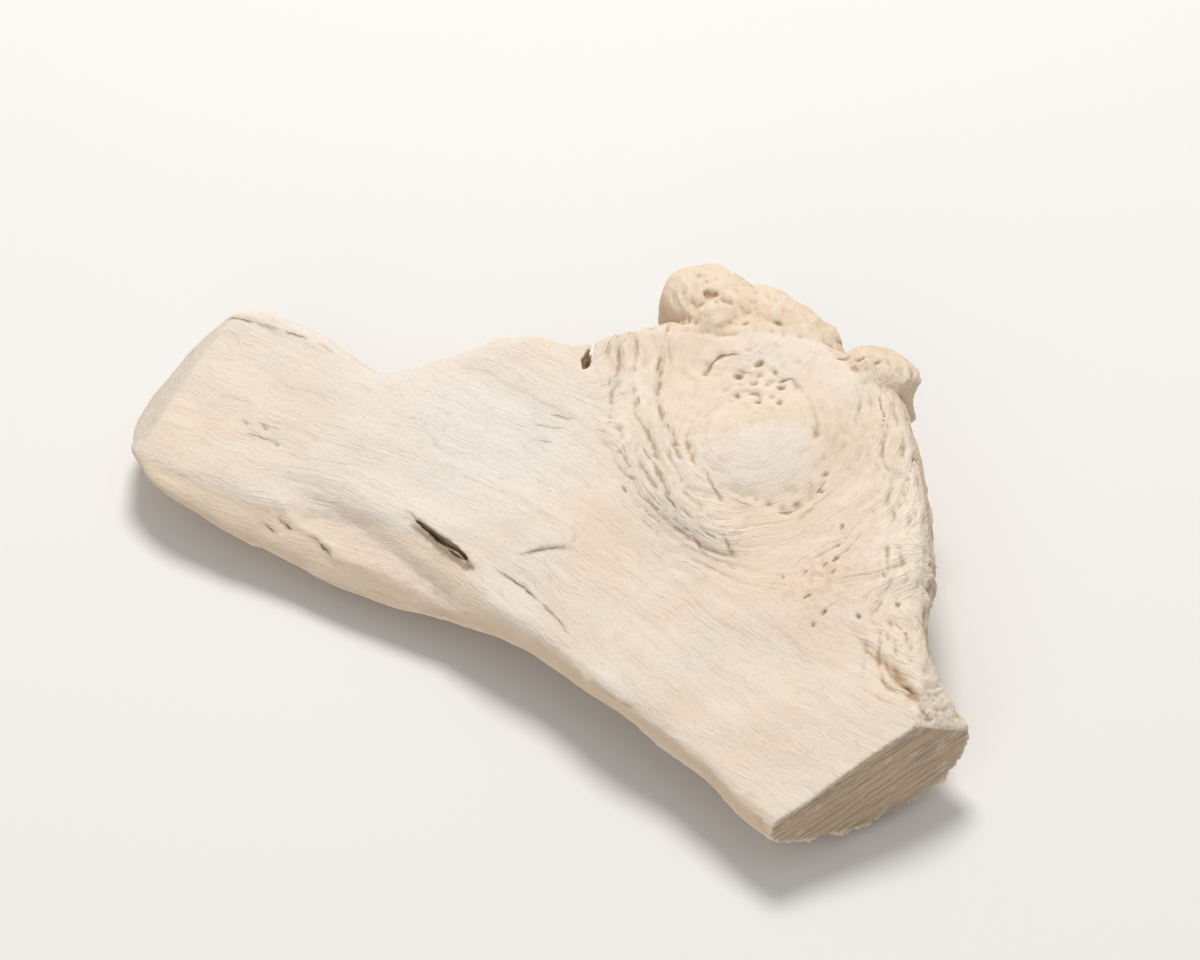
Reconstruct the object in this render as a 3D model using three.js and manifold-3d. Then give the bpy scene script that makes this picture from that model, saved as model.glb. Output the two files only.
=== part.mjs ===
// A bleached piece of driftwood: a slab split from the foot of a root. A narrow arm runs to the left,
// the slab widens to the right round a burl, and the right end is sawn off. It lies on its worn
// underside. X runs along the arm towards the burl, Y to the back and Z up, in millimetres.
import * as THREE from "three";
import { ImprovedNoise } from "three/addons/math/ImprovedNoise.js";
import { mergeVertices } from "three/addons/utils/BufferGeometryUtils.js";
import Module from "manifold-3d";

const wasm = await Module();
wasm.setup();

// Driving dimensions.
const FACE_HEIGHT = 18; // height of the top face over the ground, at y = 0
const FACE_SLOPE = 0.25; // how much the top face rises for each millimetre towards the back
const WALL_BULGE = 1.6; // how far the back wall stands out behind the rim of the top face
const FACET_BEND = 0.3; // where the front facet bends, as a share of its width from its foot
const WAVE_LENGTH = 17; // size of the hollows and swellings that the water has worn
const WAVE_DEPTH = 1.3; // how far they go in and out

// Sections across the piece, from the nose of the arm to beyond the sawn end.
const SECTIONS = [
  // x, foremost point y and z, front ridge y, rim at the back y, back wall z,
  // crown of the face over its plane, height of the underside at the front, middle and back
  [-82.5, -13.5, 8.6, -12.4, 8, 8.5, -1.6, 6.6, 6, 6.8],
  [-77, -19.6, 10.8, -17.8, 15.8, 10.5, -0.6, 6.6, 5.6, 7],
  [-70, -21.8, 10.4, -19, 17, 11, -0.3, 5.2, 4.2, 6.8],
  [-58, -22.2, 8.6, -17.6, 16.6, 10.5, 0, 3.8, 2.4, 6.5],
  [-48, -20.8, 7.6, -15.4, 16.6, 11, 0, 2, 0.4, 6.5],
  [-42, -19.8, 7, -12.4, 23, 13, 0, 1.2, -0.6, 7],
  [-36, -19, 6.6, -9.8, 30.5, 16, 0.2, 0.8, -1, 7.5],
  [-29, -18.2, 6.4, -7.8, 36, 18, 0.3, 0.6, -1.2, 7],
  [-21, -17, 6.6, -6.6, 38.5, 19, 0.4, 1, -1.2, 6],
  [-17, -16.3, 7, -6.8, 44.5, 19, 0.4, 1.6, -1.2, 5.5],
  [-10, -14.9, 8.2, -8.6, 50, 19, 0.5, 3.4, -1, 4.5],
  [-1, -13.8, 9.6, -11.5, 57.5, 18, 0.6, 6.4, -0.8, 3],
  [10, -14, 10.2, -12, 60.5, 17, 0.8, 7.8, -1, 2],
  [22, -14.8, 10.5, -13.6, 60.5, 17, 0.9, 8.4, -1.2, 1.5],
  [32, -15.9, 10.5, -15, 57.5, 18, 0.7, 8.6, -1.2, 1.5],
  [40, -16.9, 10.2, -16, 51.5, 18, 0.4, 8.2, -1, 2.5],
  [48, -18, 9.9, -17, 44, 17, 0.2, 8, -0.6, 3.5],
  [56, -19.2, 9.5, -18.3, 34, 16, 0, 7.2, 0, 4],
  [63, -20.4, 9.1, -19.6, 23.5, 14, -0.2, 6.5, 1.2, 4.5],
  [71, -21.7, 8.5, -21, 15.4, 12, -0.4, 6, 2.6, 4.5],
  [81, -23.3, 7.7, -22.6, 13.5, 11, -0.8, 5.5, 3.4, 4.5],
];
const NOSE = new THREE.Vector3(-84.4, -3, 8);
const TAIL = new THREE.Vector3(95, -3, 10); // beyond the saw cut

// The nose is worn to a bevel. The sawn end leans out a little towards its foot, and its back
// corner is split away.
const BEVEL = { at: [-77, -5, 16.2], outwards: [-0.67, -0.28, 0.735], size: 60 };
const SAW_CUT = { at: [64.5, -20.5, 12], outwards: [0.935, -0.354, 0.1], size: 200 };
const SPLIT_CORNER = { at: [75, 12, 17], outwards: [0.6, 0.234, 0.766], size: 26 };
const GROUND = { at: [0, 0, 0], outwards: [0, 0, -1], size: 400 };

// Swellings that run down the back wall behind the burl, and the hollows: a split along the front
// ridge, a notch in the rim beside the burl, a pit in the ledge and a nick under the sawn corner.
const LEDGE = { at: [-7.6, 58.4, 25.6], size: [9.6, 7.6, 8.6], turn: [-0.1, 0, -0.3], mesh: 20, round: 0.6 };
const SHELF = { at: [6.4, 60.6, 24.8], size: [13, 5.8, 9.2], turn: [-0.1, 0, -0.12], mesh: 20, round: 0.7 };
const KNOB = { at: [26.4, 60.7, 27], size: [7.4, 5.4, 8.2], turn: [-0.1, 0, -0.4], mesh: 18, round: 0.75 };
const SPLIT = { at: [-16.8, -6.3, 16.6], size: [7.2, 0.85, 3], turn: [0.5, 0.03, -0.14], mesh: 18 };
const NOTCH = { at: [-18.6, 38, 26.5], size: [1.1, 4.4, 6], turn: [0, 0, 0.4], mesh: 12 };
const PIT = { at: [-6.6, 56.4, 35], size: [1.7, 1.1, 2.2], turn: [0.2, 0, 0.3], mesh: 12 };
const NICK = { at: [60.6, -17.6, 7.4], size: [2.6, 2, 1.8], turn: [0, 0.4, 1.2], mesh: 12 };
const BURL = { x: 16.5, y: 37.4, radius: 17, height: 2.4 }; // a low dome on the top face

// Mesh rows between one point of a section and the next, round the piece, and along it between
// one section and the next.
const ROWS_ROUND = [3, 3, 1, 8, 8, 8, 2, 3, 4, 8, 8, 3];
const ROWS_ALONG = 3;

const noise = new ImprovedNoise();

// The push of the wear on a point, from swellings of one size.
function swell(point, length) {
  const [x, y, z] = point.clone().divideScalar(length);
  const along = (shift) => noise.noise(x + shift, y + shift, z);
  return new THREE.Vector3(along(0.3), along(11.3), along(27.3));
}

// Moves a point by the wear that the water has left at that place.
function wear(point) {
  const broad = swell(point, WAVE_LENGTH).multiplyScalar(WAVE_DEPTH);
  const fine = swell(point, WAVE_LENGTH / 2).multiplyScalar(WAVE_DEPTH / 4);
  return point.add(broad).add(fine);
}

// The points of a section, from its foremost point over the top to the back and home below.
function sectionPoints([x, front, frontZ, ridge, rim, wallZ, crown, underFront, underMid, underBack]) {
  const between = (share) => THREE.MathUtils.lerp(ridge, rim, share);
  const face = (y, sink = 0) => [y, FACE_HEIGHT + FACE_SLOPE * y + crown - sink];
  const [, ridgeZ] = face(ridge);
  const facet = ridgeZ - frontZ;
  return [
    [front, frontZ],
    [THREE.MathUtils.lerp(front, ridge, FACET_BEND), frontZ + facet * 0.5],
    [ridge - 0.3, ridgeZ - 0.8],
    face(ridge + 0.6, 0.1),
    face(between(0.33)),
    face(between(0.66)),
    face(rim - 2, 0.3),
    face(rim, 1.8),
    [rim + WALL_BULGE, wallZ],
    [between(0.85), underBack],
    [between(0.5), underMid],
    [between(0.12), underFront],
  ].map(([y, z]) => new THREE.Vector3(x, y, z));
}

// The height that the burl adds to the top face.
function burlHeight({ x, y, z }) {
  const share = Math.hypot(x - BURL.x, y - BURL.y) / BURL.radius;
  const onFace = THREE.MathUtils.smoothstep(z, 14, 22);
  return share < 1 ? onFace * BURL.height * (1 - share ** 2) ** 2 : 0;
}

// The slab: a sphere's mesh drawn out over the sections, its poles at the nose and the tail.
function slabGeometry() {
  const sections = SECTIONS.map(sectionPoints);
  const rails = ROWS_ROUND.map(
    (_, k) => new THREE.CatmullRomCurve3([NOSE, ...sections.map((s) => s[k]), TAIL], false, "centripetal"),
  );
  const turns = ROWS_ROUND.flatMap((rows, k) =>
    Array.from({ length: rows }, (_, i) => (k + i / rows) / ROWS_ROUND.length),
  );
  const blank = new THREE.SphereGeometry(1, turns.length, (SECTIONS.length + 1) * ROWS_ALONG);
  const { position, uv } = blank.attributes;
  const loop = (points) => new THREE.CatmullRomCurve3(points, true, "centripetal");
  for (let i = 0; i < position.count; i++) {
    const column = Math.round(uv.getX(i) * turns.length) + turns.length;
    const ring = loop(rails.map((rail) => rail.getPoint(1 - uv.getY(i))));
    const point = ring.getPoint(turns[column % turns.length]);
    point.z += burlHeight(point);
    position.setXYZ(i, ...wear(point));
  }
  return blank;
}

// A worn, rounded body: a swelling to add or a hollow to take away. It is an ellipsoid where round
// is 1, and comes closer to a block the smaller that is.
function roundBody({ at, size, turn, mesh, round = 1 }) {
  const ball = new THREE.SphereGeometry(1, mesh, Math.round(mesh * 0.6));
  const fuller = ball.attributes.position.array.map((c) => Math.sign(c) * Math.abs(c) ** round);
  ball.setAttribute("position", new THREE.BufferAttribute(fuller, 3)).scale(...size);
  ball.applyMatrix4(new THREE.Matrix4().makeRotationFromEuler(new THREE.Euler(...turn)));
  ball.translate(...at);
  const { position } = ball.attributes;
  for (let i = 0; i < position.count; i++) {
    position.setXYZ(i, ...wear(new THREE.Vector3().fromBufferAttribute(position, i)));
  }
  return ball;
}

// A block that stands on a plane, for cutting the wood off flat.
function blockBeyond({ at, outwards, size }) {
  const up = new THREE.Vector3(0, 0, 1);
  const turn = new THREE.Quaternion().setFromUnitVectors(up, new THREE.Vector3(...outwards).normalize());
  return new THREE.BoxGeometry(size, size, size)
    .translate(0, 0, size / 2)
    .applyQuaternion(turn)
    .translate(...at);
}

function solid(geometry) {
  const bare = new THREE.BufferGeometry().setIndex(geometry.index);
  bare.setAttribute("position", geometry.getAttribute("position"));
  const merged = mergeVertices(bare, 1e-3);
  return new wasm.Manifold(
    new wasm.Mesh({
      numProp: 3,
      vertProperties: merged.getAttribute("position").array,
      triVerts: new Uint32Array(merged.index.array),
    }),
  );
}

function geometryOf(manifold) {
  const { vertProperties, triVerts } = manifold.getMesh();
  const geometry = new THREE.BufferGeometry();
  geometry.setAttribute("position", new THREE.BufferAttribute(vertProperties, 3));
  geometry.setIndex(new THREE.BufferAttribute(triVerts, 1));
  return geometry;
}

const wood = solid(slabGeometry())
  .add(solid(roundBody(LEDGE)))
  .add(solid(roundBody(SHELF)))
  .add(solid(roundBody(KNOB)))
  .subtract(solid(roundBody(SPLIT)))
  .subtract(solid(roundBody(NOTCH)))
  .subtract(solid(roundBody(PIT)))
  .subtract(solid(roundBody(NICK)))
  .subtract(solid(blockBeyond(BEVEL)))
  .subtract(solid(blockBeyond(SAW_CUT)))
  .subtract(solid(blockBeyond(SPLIT_CORNER)))
  .subtract(solid(blockBeyond(GROUND)));

const geometry = geometryOf(wood);
geometry.computeBoundingBox();
const middle = geometry.boundingBox.getCenter(new THREE.Vector3());

// The origin is at the middle of the bounding box's underside.
const driftwood = new THREE.Mesh(
  geometry,
  new THREE.MeshStandardMaterial({ color: 0xe6d7c4, roughness: 0.9, metalness: 0 }),
);
driftwood.name = "driftwood";
driftwood.position.set(-middle.x, -middle.y, 0);

const piece = new THREE.Group();
piece.add(driftwood);

export default piece;
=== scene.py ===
import math

import bmesh
import bpy
import numpy as np
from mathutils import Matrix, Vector


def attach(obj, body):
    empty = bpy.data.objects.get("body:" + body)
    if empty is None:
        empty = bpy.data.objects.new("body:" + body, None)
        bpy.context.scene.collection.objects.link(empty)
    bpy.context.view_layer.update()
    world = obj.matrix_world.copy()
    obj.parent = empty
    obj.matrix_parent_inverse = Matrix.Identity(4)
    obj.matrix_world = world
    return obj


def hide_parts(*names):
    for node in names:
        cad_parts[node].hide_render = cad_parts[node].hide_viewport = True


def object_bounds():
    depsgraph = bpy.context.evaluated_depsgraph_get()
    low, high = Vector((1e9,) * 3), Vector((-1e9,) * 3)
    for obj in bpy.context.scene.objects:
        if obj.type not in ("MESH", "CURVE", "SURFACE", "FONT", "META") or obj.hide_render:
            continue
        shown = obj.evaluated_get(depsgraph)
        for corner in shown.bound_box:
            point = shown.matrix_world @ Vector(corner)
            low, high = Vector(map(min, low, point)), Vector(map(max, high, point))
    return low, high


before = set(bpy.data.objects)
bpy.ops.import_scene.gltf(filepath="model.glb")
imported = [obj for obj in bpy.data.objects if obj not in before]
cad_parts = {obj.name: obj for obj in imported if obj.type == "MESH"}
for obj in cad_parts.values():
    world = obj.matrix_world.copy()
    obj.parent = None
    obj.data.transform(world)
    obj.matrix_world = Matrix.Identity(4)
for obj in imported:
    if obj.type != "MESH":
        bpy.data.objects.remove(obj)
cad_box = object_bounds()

MM = 0.001
VOXEL = 0.40  # mm, of the fine surface
MOST_FACES = 192000  # triangles of the finished piece
CREASE_ANGLE = math.radians(30)  # a sharper edge of the CAD solid is kept sharp
CREASE_SHARPNESS = 1.0
MERGE_DISTANCE = 1e-5  # m, of points that are the same corner

# The photo's viewing angle, and where the camera aims, from the middle of the part's box, in metres.
LENS = 150
AZIMUTH, ELEVATION = math.radians(38), math.radians(45)
CAMERA_DISTANCE = 0.862
AIM = Vector((0.001, -0.003, 0.002))

# Studio: name, place, diameter, power and colour of each light.
LIGHTS = [
    ("key", (-0.26, 0.34, 0.86), 0.36, 6.7, (1.0, 0.975, 0.94)),
    ("front", (0.25, -0.75, 0.50), 0.70, 1.3, (1.0, 0.98, 0.96)),
]
SKY_COLOUR, SKY_STRENGTH = (1.0, 0.985, 0.965, 1), 0.46
FLOOR_COLOUR, FLOOR_ROUGHNESS, FLOOR_REACH = (0.78, 0.775, 0.765, 1), 0.9, 3.0

# Landmarks in plan, in mm. They are placed from the sawn end and the front of the part's box.
ORIGIN = np.array([cad_box[1].x / MM - 81.41, cad_box[0].y / MM + 44.51, 0.0])
BURL = np.array([19.4, 15.2])
BACK = np.array([-0.616, 0.788])  # the way the root's grain leaves the burl
SIDE = np.array([0.788, 0.616])
FACE_HEIGHT, FACE_SLOPE, FACE_Y0 = 18.0, 0.25, -22.2
SAW_POINT = np.array([67.5, -42.7, 12.0])
SAW_NORMAL = np.array([0.935, -0.354, 0.1]) / np.linalg.norm([0.935, -0.354, 0.1])
BEVEL_POINT = np.array([-74.0, -27.2, 16.2])
BEVEL_NORMAL = np.array([-0.67, -0.28, 0.735]) / np.linalg.norm([-0.67, -0.28, 0.735])
EYE, EYE_LONG, EYE_SHORT = np.array([24.8, 11.8]), np.array([0.86, 0.51]), np.array([-0.51, 0.86])
EYE_HALF_LENGTH, EYE_HALF_WIDTH = 8.2, 6.0
DIMPLES = np.array([14.2, 23.6])
PINK_PATCH = np.array([46.5, -1.5])
WHITE_PATCH = np.array([-21.0, -8.0])


# ---------------------------------------------------------------- camera, stage and light
def add_camera():
    data = bpy.data.cameras.new("camera")
    data.lens = LENS
    cam = bpy.data.objects.new("camera", data)
    bpy.context.scene.collection.objects.link(cam)
    lo, hi = cad_box
    target = (lo + hi) / 2 + AIM
    level = math.cos(ELEVATION)
    back = Vector((math.sin(AZIMUTH) * level, -math.cos(AZIMUTH) * level, math.sin(ELEVATION)))
    cam.location = target + back * CAMERA_DISTANCE
    cam.rotation_mode = "QUATERNION"
    cam.rotation_quaternion = (-back).to_track_quat("-Z", "Y")
    data.clip_start, data.clip_end = 0.01, 20
    bpy.context.scene.camera = cam


def add_light(name, at, size, power, colour):
    data = bpy.data.lights.new(name, "AREA")
    data.shape = "DISK"
    data.size = size
    data.energy = power
    data.color = colour
    lamp = bpy.data.objects.new(name, data)
    bpy.context.scene.collection.objects.link(lamp)
    lamp.location = at
    lamp.rotation_mode = "QUATERNION"
    lamp.rotation_quaternion = (-Vector(at)).to_track_quat("-Z", "Y")


def add_stage():
    mesh = bpy.data.meshes.new("floor")
    r = FLOOR_REACH
    mesh.from_pydata([(-r, -r, 0), (r, -r, 0), (r, r, 0), (-r, r, 0)], [], [(0, 1, 2, 3)])
    floor = bpy.data.objects.new("floor", mesh)
    bpy.context.scene.collection.objects.link(floor)
    paper = bpy.data.materials.new("paper")
    paper.use_nodes = True
    shader = paper.node_tree.nodes["Principled BSDF"]
    shader.inputs["Base Color"].default_value = FLOOR_COLOUR
    shader.inputs["Roughness"].default_value = FLOOR_ROUGHNESS
    mesh.materials.append(paper)

    world = bpy.data.worlds.new("studio")
    world.use_nodes = True
    sky = world.node_tree.nodes["Background"]
    sky.inputs["Color"].default_value = SKY_COLOUR
    sky.inputs["Strength"].default_value = SKY_STRENGTH
    bpy.context.scene.world = world

    for light in LIGHTS:
        add_light(*light)
    bpy.context.scene.view_settings.view_transform = "Standard"


# ---------------------------------------------------------------- noise
NOISE_SEED = 11
_rng = np.random.RandomState(NOISE_SEED)
_perm = np.tile(_rng.permutation(256), 3)
_grad = _rng.normal(size=(256, 3))
_grad /= np.linalg.norm(_grad, axis=1)[:, None]


def noise(p):
    """Gradient noise of points (n, 3), about -1 to 1."""
    cell = np.floor(p).astype(int)
    f = p - cell
    cell &= 255
    u = f * f * f * (f * (f * 6 - 15) + 10)
    total = np.zeros(len(p))
    for dx in (0, 1):
        wx = u[:, 0] if dx else 1 - u[:, 0]
        for dy in (0, 1):
            wy = u[:, 1] if dy else 1 - u[:, 1]
            for dz in (0, 1):
                wz = u[:, 2] if dz else 1 - u[:, 2]
                key = _perm[_perm[_perm[cell[:, 0] + dx] + cell[:, 1] + dy] + cell[:, 2] + dz]
                slope = (_grad[key] * (f - (dx, dy, dz))).sum(1)
                total += wx * wy * wz * slope
    return total * 1.7


def layered(p, octaves=3, gain=0.5):
    """Noise with finer noise added, each octave at half the size."""
    total, size = np.zeros(len(p)), 1.0
    for i in range(octaves):
        total += noise(p * 2**i + 17.3 * i) * size
        size *= gain
    return total


def ridged(p):
    """Sharp crests and broad troughs, about -1 to 1."""
    return 1 - 2.6 * np.abs(noise(p))


def step(lo, hi, x):
    """Smooth rise from 0 at lo to 1 at hi, or fall where hi is below lo."""
    t = np.clip((x - lo) / (hi - lo), 0, 1)
    return t * t * (3 - 2 * t)


def mix(a, b, t):
    return a + (b - a) * t


def to_path(xy, path):
    """Distance, signed side (left is positive) and share along, from points to a polyline."""
    path = np.array(path, float)
    seg = np.diff(path, axis=0)
    length = np.linalg.norm(seg, axis=1)
    start = np.concatenate([[0], np.cumsum(length)])
    far = 1e9
    best = np.full(len(xy), far)
    side, share = np.zeros(len(xy)), np.zeros(len(xy))
    for i, s in enumerate(seg):
        rel = xy - path[i]
        t = np.clip(rel @ s / length[i] ** 2, 0, 1)
        off = rel - t[:, None] * s
        d = np.linalg.norm(off, axis=1)
        near = d < best
        best[near] = d[near]
        side[near] = np.sign(s[0] * rel[near, 1] - s[1] * rel[near, 0])
        share[near] = (start[i] + t[near] * length[i]) / start[-1]
    return best, side, share


def beside(xy, path):
    """Signed distance from a polyline (left is positive), and share along it."""
    d, side, share = to_path(xy, path)
    return d * side, share


def groove(xy, path, width, depth):
    """Height of a groove along a polyline, deepest away from its ends."""
    d, _, share = to_path(xy, path)
    ends = step(0, 0.15, share) * step(1, 0.85, share)
    return -depth * np.exp(-((d / width) ** 2)) * (0.25 + 0.75 * ends)


# ---------------------------------------------------------------- the wood's own coordinates
# The arm's grain bows towards the back in its middle part, and less so away from the front.
BOW, BOW_AT, BOW_LENGTH = 11.5, -11, 38
BOW_FRONT, BOW_FADE = -32, 30

# Distance from the burl's middle line where its grain starts to give way to the arm's, and where the
# arm's has taken over, in mm: on the arm's side, below the burl, and towards the right edge.
BURL_GIVES_WAY, BURL_ENDS = (15, 18, 38), (27, 36, 56)
BURL_LIFT = 4.7  # mm, from the burl's place to the arm's grain line that meets its middle
BURL_TURN = 18  # mm of grain for each radian round the burl
BURL_BESIDE = 28  # mm of grain from below the burl to beside it


def by_heading(heading, values):
    """A value between those of the arm's side (heading -1), below the burl (0) and the right side (1)."""
    arm_side, below, right_side = values
    return np.where(heading < 0, mix(below, arm_side, -heading), mix(below, right_side, heading))


def grain_coordinates(p):
    """Across the grain in plan, across it in height, and along it, in mm, then the distance
    from the burl's middle line and the burl's share in the flow.
    """
    xy = p[:, :2]
    bow = BOW * np.exp(-(((p[:, 0] - BOW_AT) / BOW_LENGTH) ** 2))
    arm_psi = p[:, 1] - bow * np.exp(-np.clip(p[:, 1] - BOW_FRONT, 0, None) / BOW_FADE)
    rel = xy - BURL
    up, across = rel @ BACK, rel @ SIDE
    round_it = np.linalg.norm(rel, axis=1)
    to_ray = np.where(up > 0, np.abs(across), round_it)
    d = mix(round_it, to_ray, step(9, 19, round_it))
    burl_psi = BURL[1] + BURL_LIFT - d
    turn = np.abs(np.arctan2(across, -up))
    burl_phi = np.where(up > 0, BURL_BESIDE + up, turn * BURL_TURN)
    heading = across / (round_it + 1e-6)
    weight = 1 - step(by_heading(heading, BURL_GIVES_WAY), by_heading(heading, BURL_ENDS), d)
    psi = mix(arm_psi, burl_psi, weight)
    phi = mix(p[:, 0], burl_phi, weight)
    layer = p[:, 2] - FACE_HEIGHT - FACE_SLOPE * (p[:, 1] - FACE_Y0)
    return psi, layer, phi, d, weight


# ---------------------------------------------------------------- the surface
def rest_mesh():
    """The CAD solid with its facets smoothed and its true edges kept, as a fine even mesh."""
    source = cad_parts["driftwood"]
    bm = bmesh.new()
    bm.from_mesh(source.data)
    bmesh.ops.remove_doubles(bm, verts=bm.verts, dist=MERGE_DISTANCE)
    crease = bm.edges.layers.float.new("crease_edge")
    for e in bm.edges:
        if len(e.link_faces) == 2 and e.calc_face_angle(0) > CREASE_ANGLE:
            e[crease] = CREASE_SHARPNESS
    mesh = bpy.data.meshes.new("driftwood_rest")
    bm.to_mesh(mesh)
    bm.free()
    obj = bpy.data.objects.new("driftwood_rest", mesh)
    bpy.context.scene.collection.objects.link(obj)
    round_off = obj.modifiers.new("round", "SUBSURF")
    round_off.levels = 1
    even = obj.modifiers.new("even", "REMESH")
    even.mode = "VOXEL"
    even.voxel_size = VOXEL * MM
    dg = bpy.context.evaluated_depsgraph_get()
    made = bpy.data.meshes.new_from_object(obj.evaluated_get(dg))
    bpy.data.objects.remove(obj)
    return made


def read(mesh):
    """Points in mm from ORIGIN, and the edges' ends."""
    co = np.empty(len(mesh.vertices) * 3)
    mesh.vertices.foreach_get("co", co)
    edges = np.empty(len(mesh.edges) * 2, int)
    mesh.edges.foreach_get("vertices", edges)
    return co.reshape(-1, 3) / MM - ORIGIN, edges.reshape(-1, 2)


def write(mesh, p):
    mesh.vertices.foreach_set("co", ((p + ORIGIN) * MM).ravel())
    mesh.update()


def normals(mesh):
    n = np.empty(len(mesh.vertices) * 3)
    mesh.vertex_normals.foreach_get("vector", n)
    return n.reshape(-1, 3)


def neighbour_mean(values, edges, count):
    a, b = edges.T
    size = len(values)
    if values.ndim == 1:
        return (np.bincount(a, values[b], size) + np.bincount(b, values[a], size)) / count
    return np.stack([neighbour_mean(v, edges, count) for v in values.T], 1)


def relax(values, edges, count, rounds, share=0.5):
    for _ in range(rounds):
        values = values + share * (neighbour_mean(values, edges, count) - values)
    return values


# Courses in plan, in mm, of the marks that the photo shows.
EYE_ARC = [(5.6, 19.8), (4.4, 23.4), (5.2, 26.0), (8.6, 27.6)]
LOWER_ARC = [(14.5, 8.1), (17.6, 5.2), (22.0, 3.6), (30.7, 5.9), (35.4, 9.3), (34.4, 16.1)]
STREAM = [(-9.7, 21.0), (-5.5, 14.5), (1.5, 7.6), (10.0, 2.0), (19.0, -2.6), (27.0, -5.3)]
STRAND_1 = [(-4.6, 20.6), (1.8, 12.4), (9.5, 5.6), (17.0, 0.8), (25.0, -1.8)]
STRAND_2 = [(-9.6, 12.6), (-3.0, 5.6), (5.5, 0.3), (14.0, -3.9), (24.0, -7.4)]
NOTCH_RIDGE = [(-14.6, 13.4), (-9.8, 5.8), (-3.4, -4.5), (0.6, -12.6), (4.9, -21.1)]
STEP_CRACK = [(-0.6, -24.8), (0.9, -23.6), (4.0, -21.2), (7.3, -19.0), (6.2, -17.0), (4.6, -14.6)]
SCARP = [(49.0, -3.0), (53.1, -6.0), (59.6, -7.6), (66.8, -9.4), (75.5, -12.6)]
RIGHT_EDGE = [(34.0, 37.0), (41.3, 32.0), (49.0, 24.6), (56.6, 14.4), (62.8, 4.6), (69.5, -6.0)]
LEDGE_LINE = [
    (-13.0, 23.0), (-8.4, 25.0), (-3.1, 26.8), (3.1, 29.4), (8.6, 32.7), (13.7, 35.2), (19.7, 35.8),
    (28.1, 35.0), (35.0, 33.6), (40.0, 31.0),
]
CAVITY = [(-6.6, 31.0), (-4.4, 30.8), (-2.6, 32.2), (-1.2, 34.6), (1.2, 35.2)]
LIP = [(-77.5, -12.8), (-73.9, -10.3), (-68.6, -9.8), (-63.2, -9.7), (-54.0, -9.0)]
SPLIT = [(-21.0, -27.5), (-13.8, -28.5), (-6.7, -29.5)]

# Thin cracks and gaps: how open each is, from 0 to 1, and its course.
FISSURES = [
    (1.0, [(-22.5, -27.2), (-19.0, -27.8), (-13.5, -28.6), (-7.5, -29.5), (-4.0, -30.6)]),  # the split
    (0.8, [(-3.0, -28.3), (0.5, -28.7), (5.0, -29.0), (9.5, -30.0)]),
    (0.4, [(8.0, -29.6), (13.5, -31.0), (18.0, -32.4)]),
    (1.0, [(-36.5, -37.9), (-33.0, -38.0), (-29.5, -38.7)]),  # on the front facet
    (0.9, [(-42.5, -38.4), (-38.7, -38.6)]),
    (0.6, [(-44.6, -40.3), (-40.6, -40.5)]),
    (0.3, [(-56.8, -26.8), (-52.0, -25.4)]),  # on the arm
    (0.4, [(-57.4, -29.2), (-51.8, -28.0)]),
    (0.8, [(-76.4, -12.0), (-74.2, -11.0), (-71.0, -10.4)]),  # along the arm's back rim
    (0.25, [(-71.0, -10.4), (-68.0, -9.8), (-65.6, -9.4)]),
    (0.8, [(-65.2, -9.2), (-62.6, -8.8), (-60.2, -8.6)]),
    (0.25, [(-58.6, -8.4), (-54.0, -8.2)]),
    (0.3, [(-14.8, -1.9), (-9.0, 0.3)]),  # the torn patch
    (0.3, [(-13.2, -4.4), (-9.4, -3.1)]),
    (0.35, [(-13.2, 0.9), (-8.8, 2.6)]),
    (0.5, [(-0.6, -24.8), (0.9, -23.6), (4.0, -21.2), (7.3, -19.0)]),  # under the flake
    (0.7, [(5.0, 21.4), (4.6, 23.4), (5.0, 25.2), (6.8, 26.6), (8.8, 27.0)]),  # over the eye
    (0.4, [(9.5, 24.0), (12.8, 24.8)]),
    (0.5, [(17.0, 25.4), (19.0, 27.2), (21.0, 26.4)]),
    (0.4, [(24.0, 2.8), (28.5, 3.8)]),  # below the eye
    (0.7, [(32.4, 5.0), (34.6, 7.0), (35.6, 9.4)]),
    (0.6, [(36.0, 11.6), (35.8, 14.8)]),
    (0.6, [(17.0, 5.0), (20.4, 3.2), (24.0, 1.6)]),  # between the strands
    (0.7, [(13.6, -1.8), (16.6, -3.0), (19.5, -4.2)]),
    (0.4, [(22.6, -5.6), (26.0, -7.2), (28.4, -8.2)]),
    (0.6, [(28.0, -3.6), (31.5, -5.2)]),
    (0.6, [(5.0, 3.8), (6.6, 3.0), (8.2, 2.0)]),
    (0.5, [(7.0, -4.4), (8.8, -5.8)]),
    (0.5, [(-2.0, 11.8), (-1.0, 10.4)]),
    (0.5, [(5.6, 9.6), (7.6, 8.2)]),
    (0.3, [(60.0, -8.1), (63.5, -8.9), (66.0, -9.6)]),  # under the scarp
    (0.9, [(67.0, -9.8), (70.0, -10.7), (74.5, -11.4)]),
    (0.6, [(47.6, -4.6), (46.6, -6.4)]),  # among the pits
    (0.5, [(55.0, 4.8), (56.6, 3.6)]),
]
FACET_HOLLOW = [(-44.0, -32.9), (-32.4, -33.6), (-20.9, -34.0), (-10.2, -34.8), (-3.0, -35.6)]
FACET_EDGE = [(-47.0, -36.0), (-36.0, -37.2), (-23.5, -37.7), (-12.0, -36.6), (-2.0, -35.2)]
FRONT_RIDGE = [
    (-74.0, -40.0), (-67.0, -41.2), (-55.0, -39.8), (-45.0, -37.6), (-39.0, -34.6), (-33.0, -32.0),
    (-26.0, -30.0), (-18.0, -28.8), (-12.0, -29.4), (-7.0, -30.8), (2.0, -33.7), (13.0, -34.2),
    (25.0, -35.8), (35.0, -37.2), (43.0, -38.2), (51.0, -39.2), (60.0, -40.6),
]
RIM_STEPS = [(-40.2, -1.6), (-36.4, 3.2), (-32.4, 8.2), (-24.0, 12.8)]

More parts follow.
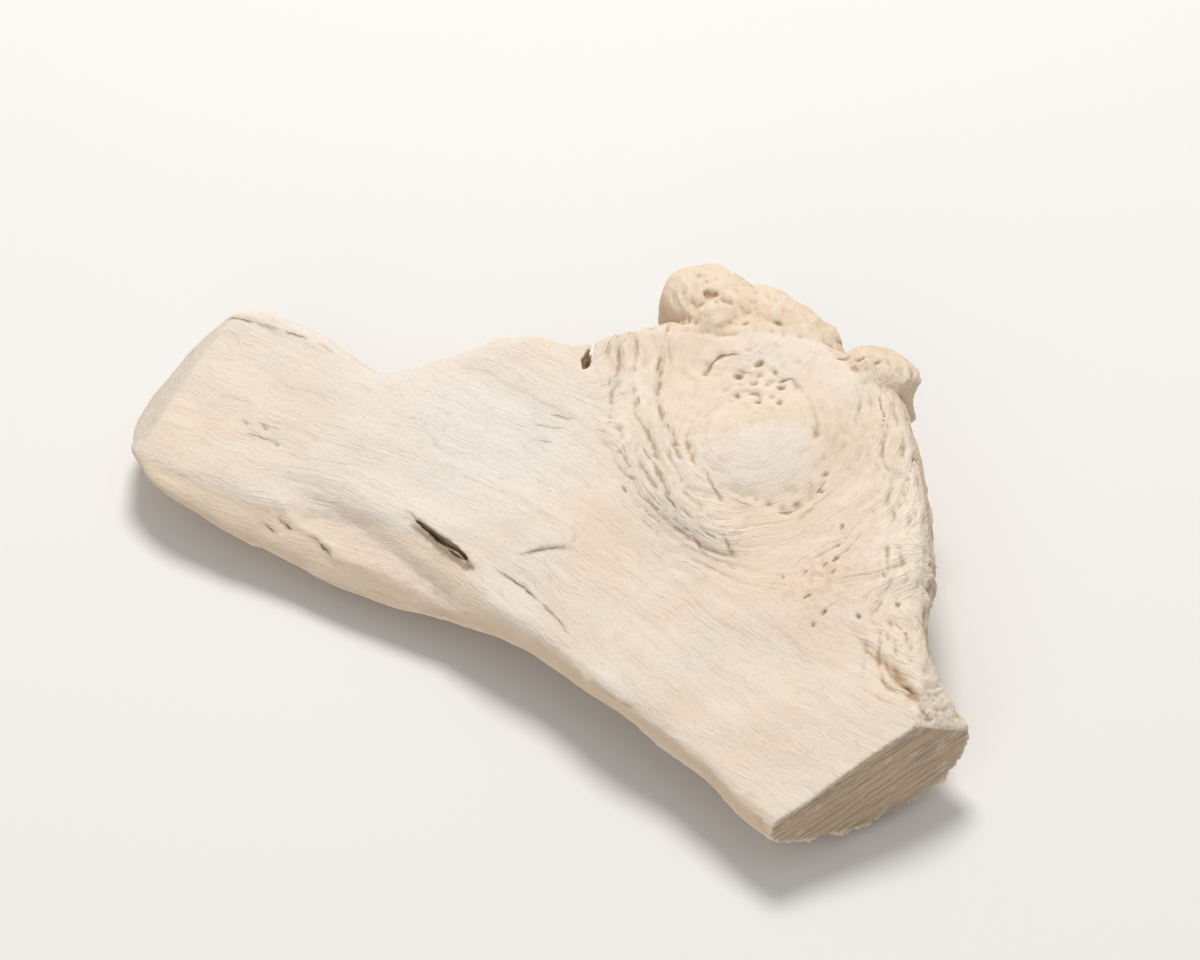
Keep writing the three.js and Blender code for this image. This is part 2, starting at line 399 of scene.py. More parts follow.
# Single holes: radius and depth in mm, the angle each is drawn out at and by how much, and the places.
HOLES = [
    (0.50, 0.80, 0.4, 1.6, [(10.3, 23.2), (15.6, 21.6), (12.0, 27.0), (18.6, 24.4)]),  # above the eye
    (0.36, 0.60, -0.3, 1.5, [(13.2, 20.0), (17.4, 20.4), (20.4, 21.8), (15.6, 26.2)]),
    (0.36, 0.80, 1.8, 1.5, [(47.0, 2.4), (51.4, -6.6), (46.4, 0.8), (43.5, 8.3)]),  # right of the burl
    (0.28, 0.50, 1.8, 1.5, [(41.6, -4.6), (48.6, 0.4), (51.0, -9.0), (45.0, 4.6), (44.0, -1.4)]),
    (0.36, 0.80, 2.4, 1.6, [(61.6, 0.8), (57.0, -3.6)]),
    (0.40, 0.60, 0.9, 1.4, [(35.0, 15.5), (36.6, 12.2), (33.6, 8.0)]),  # on the eye's right side
    (0.40, 0.70, 0.9, 2.2, [(27.0, 36.6), (30.4, 37.2), (24.4, 35.6)]),  # on the knob
    (0.38, 0.55, 0.5, 2.2, [(-8.4, 28.4), (-5.6, 27.9), (4.6, 33.2), (10.4, 36.0)]),  # on the ledge
    (0.36, 0.28, -0.1, 2.4, [(-58.3, -27.9), (-54.9, -26.8), (-51.4, -28.0)]),  # on the arm
]


def spots(xy, places, size, depth, slant=0.0, stretch=1.0):
    """Single holes, each drawn out by stretch at the angle slant."""
    c, t = math.cos(slant), math.sin(slant)
    total = np.zeros(len(xy))
    for place in places:
        rel = xy - place
        along = (rel[:, 0] * c + rel[:, 1] * t) / stretch
        across = -rel[:, 0] * t + rel[:, 1] * c
        total = np.maximum(total, np.exp(-((along**2 + across**2) / size**2) ** 1.3))
    return total * depth


def fissures(xy):
    """Signed distance from the nearest thin crack, in mm, and how open that crack is."""
    far = 9.0
    nearest, offset = np.full(len(xy), far), np.full(len(xy), far)
    opening = np.zeros(len(xy))
    for width, path in FISSURES:
        d, side, share = to_path(xy, path)
        near = d < nearest
        ends = step(-0.05, 0.3, share) * step(1.05, 0.7, share)
        nearest[near] = d[near]
        offset[near] = (d * side)[near]
        opening[near] = (width * ends * step(0.85, 0.45, d))[near]
    return offset, opening


def pinch(p):
    """Draws the walls of the split together by uneven amounts."""
    start, end = np.array(SPLIT[0]), np.array(SPLIT[-1])
    half = np.linalg.norm(end - start) / 2
    along = (end - start) / (2 * half)
    across = np.array([-along[1], along[0]])
    rel = p[:, :2] - (start + end) / 2
    s, d = rel @ along, rel @ across
    share = np.clip(0.68 + 0.30 * noise(np.stack([s / 2.4, s * 0, s * 0], 1) + 81), 0.4, 0.9)
    above_base = step(9, 10, p[:, 2])
    near = step(half + 3, half + 1, np.abs(s)) * np.exp(-((d / 2.2) ** 2)) * above_base
    moved = p.copy()
    moved[:, :2] -= (share * near * d)[:, None] * across
    return moved


class Carving:
    """Displacement along the normal, in mm, and the masks that the material needs.

    A number added to the points given to a noise only picks another part of that noise.
    """

    def __init__(self, p, n):
        self.p, self.n = p, n
        self.h = np.zeros(len(p))
        self.set_coordinates()
        self.set_zones()
        self.ridge_grain()
        self.shape_eye()
        self.lay_strands()
        self.break_seam()
        self.step_right_edge()
        self.tear_scarp()
        self.lump_ledge()
        self.shape_front()
        self.shape_arm()
        self.sink_holes()
        self.open_cracks()
        self.layer_walls()
        self.wear_underside()
        self.rough_saw_cut()

    def set_coordinates(self):
        """Points with uneven shifts, so that no mark is quite straight, and the grain's own coordinates."""
        p, flat = self.p, np.zeros(len(self.p))
        warp = np.stack([noise(p / 7 + 3.1), noise(p / 7 + 31.7), flat], 1)
        small_warp = np.stack([noise(p / 1.9 + 5.1), noise(p / 1.9 + 41.7), flat], 1)
        self.q = p + warp + 0.28 * small_warp
        self.xy = self.q[:, :2]
        self.jitter = small_warp[:, :2]
        self.straight = p[:, :2] + 0.25 * self.jitter
        psi, self.layer, self.phi, self.burl_d, self.burl_w = grain_coordinates(self.q)
        self.psi = psi + 0.9 * noise(np.stack([psi / 8, self.layer / 8, self.phi / 20], 1))
        self.g = np.stack([self.psi, self.layer, self.phi], 1)
        self.ragged = 0.75 + 0.6 * noise(p / 1.7 + 51)

    def set_zones(self):
        """How much each point belongs to each zone, from 0 to 1."""
        p, n, xy = self.p, self.n, self.xy
        self.top = step(0.25, 0.6, n[:, 2]) * step(-9, -4, self.layer)
        self.under = step(-0.3, -0.7, n[:, 2])
        self.from_saw = np.abs((p - SAW_POINT) @ SAW_NORMAL)
        self.saw = step(0.9, 0.97, n @ SAW_NORMAL) * step(1.2, 0.3, self.from_saw)
        self.wall = (1 - self.top) * (1 - self.under) * (1 - self.saw)
        self.behind = step(0.1, 0.6, n[:, 1])

        edge_d, edge_side, self.edge_s = to_path(xy, RIGHT_EDGE)
        self.edge_d = edge_d * np.where(edge_side < 0, 1, -1)  # positive towards the burl
        self.at_edge = step(12, 3, self.edge_d) * step(-6, 2, p[:, 0] - RIGHT_EDGE[0][0])
        self.streams = step(8.5, 2.5, to_path(xy, STREAM)[0])
        self.ledge_d = beside(xy, LEDGE_LINE)[0]  # positive behind the line
        self.ledge = step(-1.0, 1.5, self.ledge_d) * step(-22, -14, p[:, 0])
        eye = step(17, 11, self.burl_d)
        rough = 0.9 * self.streams + 0.8 * self.at_edge + 0.35 * eye + 0.45 * self.ledge + 0.25 * self.burl_w
        self.rough = np.clip(rough, 0, 1)
        self.arm = step(-2, -16, p[:, 0] + 0.5 * (p[:, 1] - 5))

        rel = xy - EYE
        oval = np.sqrt((rel @ EYE_LONG / EYE_HALF_LENGTH) ** 2 + (rel @ EYE_SHORT / EYE_HALF_WIDTH) ** 2)
        self.oval = oval + 0.34 * noise(p / 5.0) + 0.12 * noise(p / 1.6)
        self.bare = step(1.35, 0.85, self.oval)

    def ridge_grain(self):
        """Grain ridges, strong round the burl and faint on the worn arm."""
        p, g, top, rough, bare = self.p, self.g, self.top, self.rough, self.bare
        coarse = ridged(g / (2.6, 2.4, 24)) + 0.5 * ridged(g / (1.25, 1.2, 13) + 7)
        even = layered(g / (5.5, 5.5, 30) + 40, 2)
        self.h += top * (1 - 0.85 * bare) * ((0.035 + 0.13 * rough) * coarse + (0.12 + 0.16 * rough) * even)
        self.h += top * 0.17 * layered(p / 10 + 2, 2)
        lumpy = 0.06 + 0.08 * self.burl_w
        self.h += top * (1 - 0.6 * self.arm) * (1 - 0.5 * bare) * lumpy * layered(p / 2.4 + 22, 2)

    def shape_eye(self):
        """The burl's eye: a smooth oval, broken arcs round it, and dimples above it."""
        p, xy, top, oval = self.p, self.xy, self.top, self.oval
        self.h += top * 0.50 * step(1.5, 0.3, oval)
        rings = ridged(np.stack([oval * 2.3 + 0.9 * noise(p / 5), self.layer * 0, self.phi / 14], 1) + 3)
        self.h += top * step(2.6, 1.6, oval) * step(0.9, 1.3, oval) * 0.06 * rings
        dimple = np.exp(-((np.linalg.norm((xy - DIMPLES) / (1.3, 1), axis=1) / 5.2) ** 2))
        self.h -= top * dimple * (0.45 + 0.45 * noise(p / 2.4 + 8) + 0.30 * noise(p / 1.2 + 3))
        arcs = groove(xy, EYE_ARC, 0.8, 0.35) + groove(xy, LOWER_ARC, 1.1, 0.42)
        self.h += top * self.ragged * arcs

    def lay_strands(self):
        """Strands that stream past the burl, with short gaps between them, sunk and darkened with painted
        shade.
        """
        p, xy, top, streams = self.p, self.xy, self.top, self.streams
        wavy = self.psi + 0.7 * noise(p / 4.2 + 18)
        strands = ridged(np.stack([wavy / 1.9, self.layer / 1.6, self.phi / 15], 1) + 61)
        strands = strands + 0.6 * layered(np.stack([wavy / 2.8, self.layer / 2.4, self.phi / 9], 1) + 50, 2)
        self.h += top * streams * 0.25 * strands
        valleys = groove(xy, STRAND_1, 0.6, 0.40) + groove(xy, STRAND_2, 0.5, 0.25)
        valleys = valleys + groove(xy, STREAM, 0.5, 0.3)
        self.h += top * self.ragged * valleys
        gaps = noise(np.stack([wavy / 0.95, self.layer / 2, self.phi / 6.0], 1) + 77)
        thick = step(0.0, 0.6, noise(p / 5.5 + 35))
        loose = 0.75 * streams * (0.25 + 0.75 * thick) + 0.2 * self.at_edge + 0.13 * self.burl_w
        loose = np.clip(loose - 0.6 * self.bare, 0, 1)
        opened = step(0.62 - 0.26 * loose, 0.86 - 0.20 * loose, gaps)
        self.gap_depth_and_shade = top * opened * step(0.02, 0.5, loose)
        self.h -= 0.34 * self.gap_depth_and_shade

    def break_seam(self):
        """The seam where the arm's grain meets the burl's, the thin cracks, and a lifted flake."""
        top = self.top
        broken = 0.4 + 0.8 * noise(self.p / 3 + 14)
        self.h -= top * broken * groove(self.xy, NOTCH_RIDGE, 1.9, 0.22)
        self.fissure, opening = fissures(self.straight)
        self.opening = opening * (1 - self.under) * (1 - self.saw)
        self.h -= 0.28 * self.opening * np.exp(-((self.fissure / 0.45) ** 2))
        flake_d, flake_s = beside(self.straight + 0.5 * self.jitter, STEP_CRACK)
        flake = step(-0.1, 0.6, flake_d) * step(6, 1.5, flake_d)
        self.h += top * 0.36 * flake * step(0, 0.2, flake_s) * step(1, 0.8, flake_s)

    def step_right_edge(self):
        """Layers that stand in steps along the right edge."""
        p, top, at_edge, edge_d, edge_s = self.p, self.top, self.at_edge, self.edge_d, self.edge_s
        shelves = edge_d + 1.2 * noise(np.stack([edge_s * 6, self.layer / 4, self.psi / 9], 1))
        shelves = shelves + 0.35 * noise(p / 2.6)
        saw_tooth = (shelves / 2.7) % 1.0
        tread = step(0, 0.72, saw_tooth) * step(1, 0.78, saw_tooth) - 0.55
        patchy = 0.30 + 0.70 * step(-0.3, 0.4, noise(p / 6 + 44))
        self.h += top * at_edge * step(-1.5, 1.0, edge_d) * 0.36 * patchy * tread
        ribs = ridged(np.stack([edge_d / 1.3, self.layer / 3, edge_s * 6], 1) + 15)
        self.h += top * at_edge * 0.16 * ribs

    def tear_scarp(self):
        """The torn scarp above the sawn end, and the brown stain in its foot."""
        scarp_d, scarp_s = beside(self.straight + (0, -0.8), SCARP)
        scarp_end = step(0.15, 0.75, scarp_s)
        raised = 0.62 * step(-0.8, 1.1, scarp_d) * step(9, 3, scarp_d)
        foot = 0.32 * np.exp(-((scarp_d + 0.5) / 0.7) ** 2)
        self.h += self.top * scarp_end * (raised - foot)
        stain = np.exp(-((scarp_d + 0.5) / 0.9) ** 2) * step(0.1, 0.8, scarp_s)
        self.stain = self.top * scarp_end * stain * step(1.0, 0.92, scarp_s)

    def lump_ledge(self):
        """Ledge and knob: a seam in front of them, lumps, and one curved cavity."""
        p, top = self.p, self.top
        seam = np.exp(-((self.ledge_d / 0.8) ** 2)) * step(-15, -9, p[:, 0])
        seam = seam * (0.3 + 0.7 * step(-0.1, 0.4, noise(p / 4 + 29)))
        self.h -= top * 0.32 * seam * step(42, 36, p[:, 0])
        self.h += top * self.ledge * (0.36 * layered(p / 5.5 + 5, 2) + 0.12 * layered(p / 1.6 + 5, 2))
        self.h += top * self.ragged * groove(self.xy, CAVITY, 1.0, 0.8)

    def shape_front(self):
        """The second facet along the front: a hollow, an edge below it, and the ridge above it. The facet
        gets its tan with painted shade on it, and its hollow gets painted grey shade.
        """
        p, xy, shown = self.p, self.xy, 1 - self.under
        front = step(0.2, 0.5, shown) * step(-20, -28, p[:, 1]) * (1 - self.saw)
        self.h += front * (groove(xy, FACET_HOLLOW, 2.2, 1.15) - groove(xy, FACET_EDGE, 0.9, 0.40))
        # painted grey shade in the facet's hollow
        self.facet_hollow_shade = -front * groove(xy, FACET_HOLLOW, 2.6, 1.0)
        ridge_d = beside(self.straight, FRONT_RIDGE)[0]
        self.h += shown * (1 - self.saw) * 0.26 * np.exp(-((ridge_d / 0.9) ** 2))
        # tan with painted shade on the facet below the front ridge
        self.facet_tan_and_shade = shown * (1 - self.saw) * step(0.2, 1.6, -ridge_d)

    def shape_arm(self):
        """Arm: a lip along the back rim, a rim in uneven steps, and the bevelled nose, which gets painted
        shade.
        """
        p = self.p
        lip_d, lip_s = beside(self.straight, LIP)
        lip = step(-0.3, 0.4, lip_d) * step(4, 2, np.abs(lip_d))
        self.h += 0.30 * self.top * lip * step(0, 0.1, lip_s) * step(1, 0.8, lip_s)
        rim_d = to_path(self.xy, RIM_STEPS)[0]
        at_rim = (1 - self.under) * np.exp(-((rim_d / 2.5) ** 2)) * self.behind
        self.h += at_rim * 0.9 * ridged(p / (3.4, 3.4, 9) + 6)
        from_bevel = np.abs((p - BEVEL_POINT) @ BEVEL_NORMAL)
        bevel_shade = step(0.93, 0.98, self.n @ BEVEL_NORMAL) * step(1.2, 0.4, from_bevel)
        # the bevelled nose, for its painted shade
        self.bevel_shade = bevel_shade * step(-60, -66, p[:, 0])

    def sink_holes(self):
        hole_depth_and_shade = np.zeros(len(self.p))
        for size, depth, slant, stretch, places in HOLES:
            hole_depth_and_shade += spots(self.xy, places, size, depth, slant, stretch)
        uneven = 0.80 + 0.6 * noise(self.p / 0.9)
        # the holes are sunk, and the same mask gives their painted shade
        self.hole_depth_and_shade = self.top * np.clip(hole_depth_and_shade * uneven, 0, 1.2)
        self.h -= self.hole_depth_and_shade

    def open_cracks(self):
        """Long cracks that follow the grain, with painted shade in them and inside the split."""
        line = np.abs(noise(np.stack([self.psi / 5.2, self.layer / 5.2, self.phi / 34], 1) + 90))
        patch = step(0.15, 0.5, noise(self.p / 12 + 60))
        crack_with_shade = step(0.05, 0.0, line) * patch * (0.12 + 0.6 * self.rough + 0.6 * self.wall)
        crack_with_shade = crack_with_shade * (1 - self.bare) * (1 - self.top * self.ledge)
        crack_with_shade = crack_with_shade * ((1 - 0.8 * self.under) * step(11, 15, self.burl_d))
        self.h -= crack_with_shade * (0.25 + 0.35 * self.rough)
        split_d, _, split_s = to_path(self.straight, SPLIT)
        inside = step(1.3, 0.8, split_d) * step(0.3, -0.6, self.layer) * step(0.05, 0.1, split_s)
        # painted shade in the cracks and inside the split
        self.crack_with_shade = np.maximum(crack_with_shade, inside * (1 - self.under))

    def layer_walls(self):
        """Walls: layers parallel to the face, deepest behind and below."""
        p, g, wall, behind = self.p, self.g, self.wall, self.behind
        strata = ridged(g / (4.5, 1.9, 26) + 12) + 0.6 * ridged(g / (2.4, 1.05, 17) + 33)
        self.h += wall * (0.10 + 0.36 * behind) * strata
        self.h += wall * behind * 0.9 * layered(g / (7, 6, 12) + 21, 3)
        self.h += wall * (1 - behind) * 0.22 * layered(p / 6 + 8, 2)

    def wear_underside(self):
        """Underside: worn grain along the piece, with long hollows."""
        x, y, z = self.q.T
        ribs = 0.2 * ridged(np.stack([y / 3.2, z / 6, x / 26], 1))
        hollows = 0.45 * layered(np.stack([y / 8, z / 8, x / 24], 1), 3)
        self.h += self.under * (ribs + hollows)

    def rough_saw_cut(self):
        """Saw cut: faint lines across it, and a torn fringe where the saw came out."""
        psi, layer, phi = self.g.T
        lines = np.stack([layer / 0.8, psi / 14, phi / 7], 1)
        self.h += self.saw * 0.08 * (noise(lines) + 0.6 * noise(lines * 1.7 + 5))
        fringe = step(8, 1.5, self.from_saw) * step(-5, -8, layer) * (1 - self.saw)
        splinters = 0.35 * ridged(np.stack([psi, layer / 6, phi / 6], 1))
        self.h += fringe * (0.8 * layered(self.p / 3.4 + 70, 3) + splinters)

    def masks(self):
        xy, top, back_wall = self.xy, self.top, self.wall * self.behind
        from_white = np.linalg.norm((xy - WHITE_PATCH) / (1.35, 1), axis=1)
        from_pink = ((xy - PINK_PATCH) / (6.0, 8.5)) ** 2
        return {
            "rough_zone": np.clip(top * self.rough + back_wall, 0, 1),
            "arm_zone": top * self.arm,
            "white_zone": top * np.exp(-((from_white / 15) ** 2)),
            "cut_zone": self.saw,
            "bevel_shade_zone": self.bevel_shade,
            "facet_tan_and_shade_zone": self.facet_tan_and_shade,
            "facet_hollow_shade_zone": self.facet_hollow_shade,
            "wall_zone": np.clip(self.wall + self.under, 0, 1),
            "ledge_zone": np.clip(top * self.ledge + back_wall * 0.6, 0, 1),
            "hole_depth_and_shade": np.clip(self.hole_depth_and_shade, 0, 1),
            "gap_depth_and_shade": np.clip(self.gap_depth_and_shade, 0, 1),
            "crack_with_shade": np.clip(self.crack_with_shade, 0, 1),
            "fissure": self.fissure,
            "opening": self.opening,
            "stain": self.stain,
            "pink": top * np.exp(-from_pink.sum(1)),
            "smooth_eye": top * 0.8 * step(1.7, 0.2, self.oval),
            "round_eye": top * step(18, 12, self.burl_d),
            "edge_zone": top * self.at_edge,
        }


def soften_bevel(p, edges, count):
    """Rounds the edge between the bevelled nose and the face."""
    from_bevel = np.abs((p - BEVEL_POINT) @ BEVEL_NORMAL)
    at_bevel = step(-64, -70, p[:, 0]) * step(4.5, 2.0, from_bevel)
    return mix(p, relax(p, edges, count, 30), at_bevel[:, None])


def depth_in_surroundings(p, n, edges, count):
    """Positive in hollows and negative on crests, seen at three sizes. It sets the painted shade in hollows
    and the painted highlight on crests.
    """
    hollow = np.zeros(len(p))
    for rounds, gain in ((2, 1.0), (8, 0.6), (24, 0.35)):
        lag = ((relax(p, edges, count, rounds) - p) * n).sum(1)
        hollow += gain * lag / (0.05 * rounds**0.5)
    return relax(hollow, edges, count, 1)


def store(mesh, name, kind, slot, values):
    attribute = mesh.attributes.new(name, kind, "POINT")
    attribute.data.foreach_set(slot, np.ascontiguousarray(values, np.float32).ravel())


def reduce_faces(obj):
    """Joins small faces where the surface is even, down to MOST_FACES triangles."""
    fewer = obj.modifiers.new("fewer", "DECIMATE")
    fewer.ratio = min(1.0, MOST_FACES / (2 * len(obj.data.polygons)))
    dg = bpy.context.evaluated_depsgraph_get()
    made = bpy.data.meshes.new_from_object(obj.evaluated_get(dg))
    obj.modifiers.clear()
    obj.data = made
    made.polygons.foreach_set("use_smooth", np.ones(len(made.polygons), bool))


def wood_piece():
    mesh = rest_mesh()
    p, edges = read(mesh)
    count = np.maximum(np.bincount(edges.ravel(), minlength=len(p)), 1)
    p = relax(p, edges, count, 2)
    p = soften_bevel(p, edges, count)
    p = pinch(p)
    write(mesh, p)
    n = normals(mesh)
    carving = Carving(p, n)
    p = p + carving.h[:, None] * n
    p = relax(p, edges, count, 1, 0.25)
    p[:, 2] = np.maximum(p[:, 2], 0.0)
    write(mesh, p)

    masks = carving.masks()
    depth = depth_in_surroundings(p, normals(mesh), edges, count)
    # painted shade in hollows and a painted highlight on crests, from the depth
    masks["hollow"] = step(0.15, 1.6, depth)
    masks["crest_highlight"] = step(-0.15, -1.6, depth)
    for name, values in masks.items():
        store(mesh, name, "FLOAT", "value", values)
    store(mesh, "grain", "FLOAT_VECTOR", "vector", carving.g)
    wood = bpy.data.objects.new("driftwood_surface", mesh)
    bpy.context.scene.collection.objects.link(wood)
    reduce_faces(wood)
    return wood


# ---------------------------------------------------------------- the material
class Nodes:
    """Short hand for building a node tree."""

    def __init__(self, tree):
        self.tree = tree

    def add(self, kind, settings=None, **inputs):
        node = self.tree.nodes.new(kind)
        for key, value in (settings or {}).items():
            setattr(node, key, value)
        for key, value in inputs.items():
            self.plug(node.inputs[key.replace("_", " ")], value)
        return node

    def plug(self, socket, value):
        if isinstance(value, bpy.types.NodeSocket):
            self.tree.links.new(value, socket)
        else:
            socket.default_value = value

    def read(self, name, socket="Fac"):
        return self.add("ShaderNodeAttribute", {"attribute_name": name}).outputs[socket]

    def maths(self, op, a, b=0.0, clamp=False):
        node = self.add("ShaderNodeMath", {"operation": op, "use_clamp": clamp})
        self.plug(node.inputs[0], a)
        self.plug(node.inputs[1], b)
        return node.outputs[0]

    def times(self, a, b):
        return self.maths("MULTIPLY", a, b)

    def ramp(self, value, lo, hi, out_lo=0.0, out_hi=1.0):
        node = self.add("ShaderNodeMapRange", {"interpolation_type": "SMOOTHSTEP"})
        for i, v in enumerate((value, lo, hi, out_lo, out_hi)):
            self.plug(node.inputs[i], v)
        return node.outputs[0]

    def blend(self, a, b, share):
        """Colour a, painted over with b by a share from 0 to 1."""
        node = self.add("ShaderNodeMix", {"data_type": "RGBA"})
        factor, first, second, result = 0, 6, 7, 2
        self.plug(node.inputs[factor], share)
        self.plug(node.inputs[first], a)
        self.plug(node.inputs[second], b)
        return node.outputs[result]

    def paint_masks(self, colour, table):
        for mask, paint, share in table:
            colour = self.blend(colour, paint, self.times(self.read(mask), share))
        return colour

    def stretched(self, vector, scale, detail, rough=0.55, shift=(0, 0, 0)):
        """Noise drawn out along the axis that has the smallest scale."""
        moved = self.add("ShaderNodeMapping", {"vector_type": "POINT"}, Vector=vector)
        moved.inputs["Location"].default_value = shift
        moved.inputs["Scale"].default_value = scale
        out = self.add("ShaderNodeTexNoise", {"noise_dimensions": "3D"}, Vector=moved.outputs[0])
        out.inputs["Scale"].default_value = 1.0
        out.inputs["Detail"].default_value = detail
        out.inputs["Roughness"].default_value = rough
        return out.outputs["Fac"]


CREAM, BONE = (0.785, 0.655, 0.520, 1), (0.800, 0.725, 0.640, 1)

# Paint of each zone, laid on in this order: mask, colour and share.
ZONE_PAINTS = [
    ("white_zone", (0.800, 0.755, 0.700, 1), 1.0),
    ("smooth_eye", (0.805, 0.735, 0.690, 1), 0.65),
    # the front facet's tan, with painted shade
    ("facet_tan_and_shade_zone", (0.760, 0.600, 0.440, 1), 0.60),
    # painted grey shade in the front facet's hollow
    ("facet_hollow_shade_zone", (0.730, 0.655, 0.590, 1), 0.55),
    ("wall_zone", (0.690, 0.500, 0.320, 1), 0.55),
    ("ledge_zone", (0.770, 0.600, 0.430, 1), 0.60),
    ("edge_zone", (0.900, 0.790, 0.640, 1), 0.45),
    ("cut_zone", (0.510, 0.380, 0.250, 1), 0.85),
    # painted grey shade on the bevelled nose
    ("bevel_shade_zone", (0.700, 0.630, 0.540, 1), 0.7),
]
DARK_STREAK, LIGHT_STREAK = (0.600, 0.445, 0.300, 1), (0.870, 0.800, 0.710, 1)
FIBRE, FLECK, HAIR_LINE = (0.480, 0.340, 0.215, 1), (0.590, 0.440, 0.290, 1), (0.330, 0.210, 0.120, 1)
PINK, SPECK = (0.680, 0.370, 0.210, 1), (0.640, 0.490, 0.350, 1)

# Stains, painted shade in hollows, holes, gaps and cracks, and a painted highlight on crests, laid on over
# the grain.
MARK_PAINTS = [
    ("stain", (0.560, 0.310, 0.130, 1), 0.5),
    # painted shade in hollows
    ("hollow", (0.400, 0.265, 0.155, 1), 0.74),
    # painted highlight on crests
    ("crest_highlight", (0.880, 0.820, 0.735, 1), 0.35),
    # painted shade in the holes
    ("hole_depth_and_shade", (0.190, 0.115, 0.065, 1), 0.66),
    # painted shade in the gaps between strands
    ("gap_depth_and_shade", (0.300, 0.195, 0.115, 1), 0.42),
    # painted shade in the cracks and the split
    ("crack_with_shade", (0.200, 0.120, 0.065, 1), 0.75),
]
CRACK_SIDE, CRACK_INSIDE_SHADE = (0.480, 0.340, 0.220, 1), (0.200, 0.125, 0.070, 1)
SAW_LINE = (0.300, 0.210, 0.130, 1)
BUMP_STRENGTH, BUMP_HEIGHT = 0.75, 0.0005
SPECULAR = 0.30


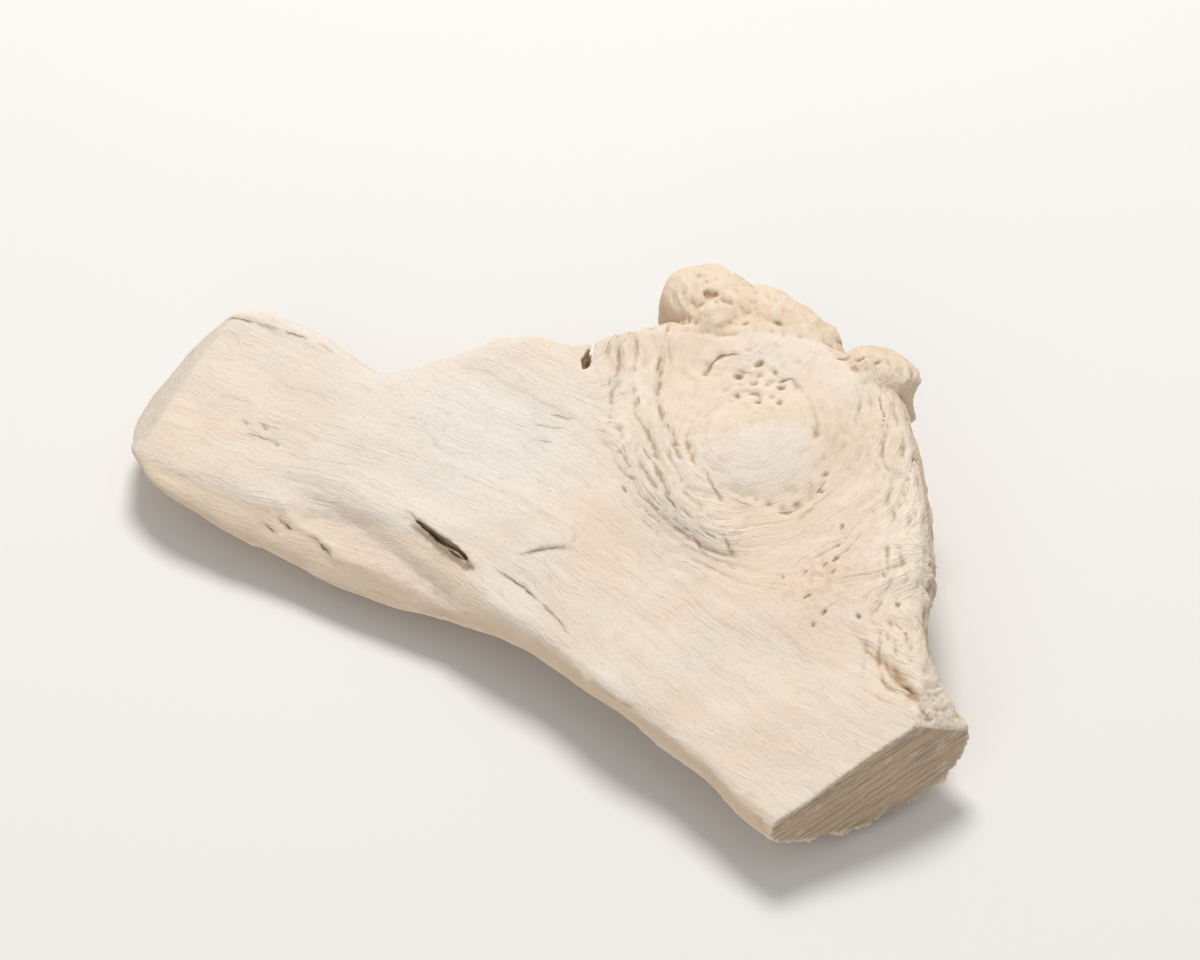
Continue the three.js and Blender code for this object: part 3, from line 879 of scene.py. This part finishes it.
class WoodNodes(Nodes):
    """The fields that colour and relief share."""

    def __init__(self, tree):
        super().__init__(tree)
        self.place = self.add("ShaderNodeTexCoord").outputs["Object"]
        grain = self.read("grain", "Vector")
        self.broad = self.stretched(grain, (0.42, 0.42, 0.030), 4, 0.6)
        self.fine = self.stretched(grain, (2.6, 2.6, 0.10), 3, 0.6, (5, 3, 1))
        self.hair = self.stretched(grain, (1.35, 1.35, 0.045), 5, 0.7, (15, 8, 4))
        self.flecks = self.ramp(self.stretched(grain, (0.85, 0.85, 0.14), 4, 0.7, (9, 1, 6)), 0.56, 0.74)
        quiet = self.maths("MAXIMUM", self.read("smooth_eye"), self.times(self.read("round_eye"), 0.75))
        self.plain = self.maths("SUBTRACT", 1.0, self.times(quiet, 0.75))  # low where the grain is worn off
        line_share = self.with_roughness(0.20, 0.35)
        self.lines = self.times(self.plain, self.times(self.ramp(self.hair, 0.640, 0.705), line_share))
        self.set_thin_cracks()
        saw_lines = self.stretched(grain, (0.10, 2.6, 0.10), 4, 0.65, (2, 9, 7))
        self.saw_lines = self.times(self.read("cut_zone"), self.ramp(saw_lines, 0.50, 0.66))

    def with_roughness(self, least, more):
        """A share that grows from least where the wood is rough."""
        return self.maths("ADD", least, self.times(self.read("rough_zone"), more))

    def set_thin_cracks(self):
        """Ragged lines of uneven width, with painted shade inside them, and a darker band beside them."""
        ragged = self.stretched(self.place, (650, 650, 650), 3, 0.6, (4, 2, 9))
        wander = self.times(self.maths("SUBTRACT", ragged, 0.5), 0.7)
        off_line = self.maths("ABSOLUTE", self.maths("ADD", self.read("fissure"), wander))
        opening = self.read("opening")
        uneven = self.stretched(self.place, (330, 330, 330), 2, 0.5, (8, 1, 3))
        inside = self.times(self.ramp(off_line, 0.22, 0.04), opening)
        self.crack_inside = self.times(inside, self.ramp(uneven, 0.66, 0.42, 0.25, 1.0))
        self.crack_side = self.times(self.ramp(off_line, 0.9, 0.1), opening)

    def zone_colour(self):
        """Bleached grey-white and cream in broad patches, and each zone's paint, with painted shade on the
        front facet, in its hollow and on the bevelled nose.
        """
        patches = self.stretched(self.place, (38, 38, 38), 3, 0.6)
        pale = self.ramp(patches, 0.35, 0.68, 0.0, 0.75)
        pale = self.maths("ADD", pale, self.times(self.read("arm_zone"), 0.35), True)
        pale = self.maths("ADD", pale, self.times(self.read("smooth_eye"), 0.6), True)
        return self.paint_masks(self.blend(CREAM, BONE, pale), ZONE_PAINTS)

    def add_grain(self, colour):
        """Broad soft streaks, fine fibres, flecks and thin dark lines."""
        dark = self.times(self.plain, self.ramp(self.broad, 0.54, 0.80, 0.0, 0.42))
        colour = self.blend(colour, DARK_STREAK, dark)
        colour = self.blend(colour, LIGHT_STREAK, self.ramp(self.broad, 0.46, 0.25, 0.0, 0.40))
        fibre = self.times(self.plain, self.ramp(self.fine, 0.58, 0.82, 0.0, 0.34))
        colour = self.blend(colour, FIBRE, fibre)
        colour = self.blend(colour, FLECK, self.times(self.flecks, self.with_roughness(0.10, 0.36)))
        return self.blend(colour, HAIR_LINE, self.lines)

    def add_marks(self, colour):
        """The pink patch, small specks, stains, painted shade in hollows, holes, gaps and cracks, and a
        painted highlight on crests.
        """
        spots = self.stretched(self.place, (900, 900, 900), 3, 0.65)
        pink = self.times(self.read("pink"), self.ramp(spots, 0.44, 0.62, 0.22, 1.0))
        colour = self.blend(colour, PINK, self.times(pink, 0.52))
        colour = self.blend(colour, SPECK, self.ramp(spots, 0.52, 0.75, 0.0, 0.30))
        colour = self.paint_masks(colour, MARK_PAINTS)
        colour = self.blend(colour, CRACK_SIDE, self.times(self.crack_side, 0.30))
        # painted shade inside the thin cracks
        colour = self.blend(colour, CRACK_INSIDE_SHADE, self.times(self.crack_inside, 0.85))
        return self.blend(colour, SAW_LINE, self.times(self.saw_lines, 0.34))

    def relief(self):
        """Relief too fine for the mesh: fibres, pores, thin cracks and the saw's lines."""
        dust = self.stretched(self.place, (1500, 1500, 1500), 3, 0.6)
        relief = self.times(self.plain, self.times(self.fine, self.with_roughness(0.55, 0.6)))
        relief = self.maths("ADD", relief, self.times(self.hair, 0.5))
        relief = self.maths("SUBTRACT", relief, self.times(self.lines, 0.8))
        relief = self.maths("ADD", relief, self.times(dust, 0.25))
        relief = self.maths("SUBTRACT", relief, self.times(self.saw_lines, 0.45))
        return self.maths("SUBTRACT", relief, self.times(self.crack_inside, 1.2))


def wood_material():
    mat = bpy.data.materials.new("bleached_driftwood")
    mat.use_nodes = True
    shader = mat.node_tree.nodes["Principled BSDF"]
    wood = WoodNodes(mat.node_tree)
    colour = wood.add_marks(wood.add_grain(wood.zone_colour()))
    wood.plug(shader.inputs["Base Color"], colour)
    roughness = wood.maths("ADD", 0.78, wood.times(wood.fine, 0.22))
    wood.plug(shader.inputs["Roughness"], roughness)
    shader.inputs["Specular IOR Level"].default_value = SPECULAR
    bump = wood.add("ShaderNodeBump", None, Height=wood.relief())
    bump.inputs["Strength"].default_value = BUMP_STRENGTH
    bump.inputs["Distance"].default_value = BUMP_HEIGHT
    wood.plug(shader.inputs["Normal"], bump.outputs["Normal"])
    return mat


add_camera()
add_stage()
wood = wood_piece()
wood.data.materials.append(wood_material())
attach(wood, "root")
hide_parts("driftwood")
